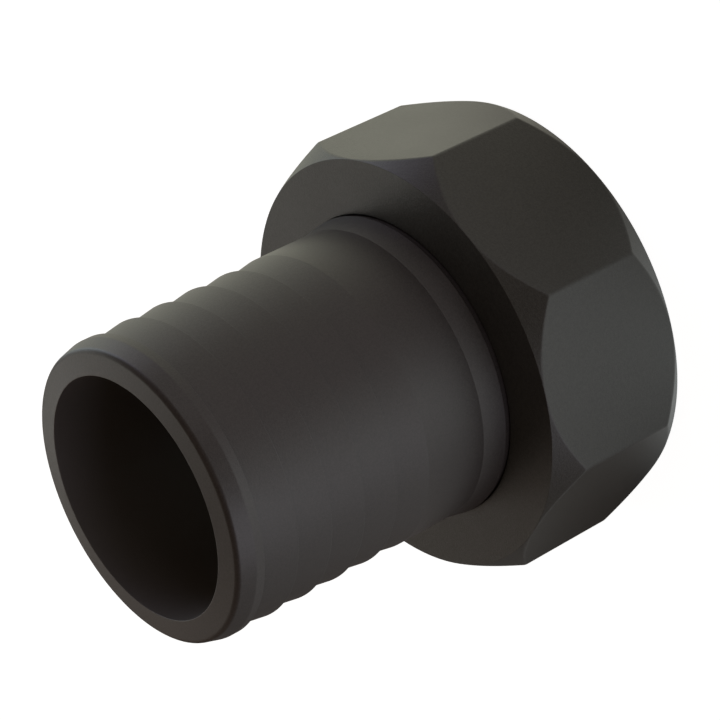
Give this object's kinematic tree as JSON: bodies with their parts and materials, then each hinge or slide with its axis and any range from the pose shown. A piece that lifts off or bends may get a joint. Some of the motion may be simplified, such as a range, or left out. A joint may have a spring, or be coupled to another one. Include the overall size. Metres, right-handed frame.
{
  "type": "hose tail adapter with swivel nut",
  "caption": "Barbed hose tail held by a flange and a flat gasket in an octagonal swivel nut with a coarse internal coupling thread.",
  "frame": {"origin": "centre of the open, threaded mouth face of the nut, which the part stands on", "axes": "+Z along the common axis of nut and tail, from the threaded mouth towards the tip of the tail; +X and +Y are square to flats of the nut"},
  "size_m": [0.11, 0.11, 0.127],
  "materials": {
    "nut_plastic": "moulded black polypropylene, fine matt grain",
    "tail_plastic": "moulded black polypropylene, fine matt grain",
    "gasket_rubber": "soft matt sheet rubber"
  },
  "bodies": {
    "tail": {"hose_tail": "tail_plastic", "flat_gasket": "gasket_rubber"},
    "nut": {"swivel_nut": "nut_plastic"}
  },
  "joints": [
    {"name": "nut_swivel", "type": "hinge", "parent": "tail", "child": "nut", "pos_m": [0, 0, 0.0395], "axis": [0, 0, 1], "continuous": true}
  ]
}
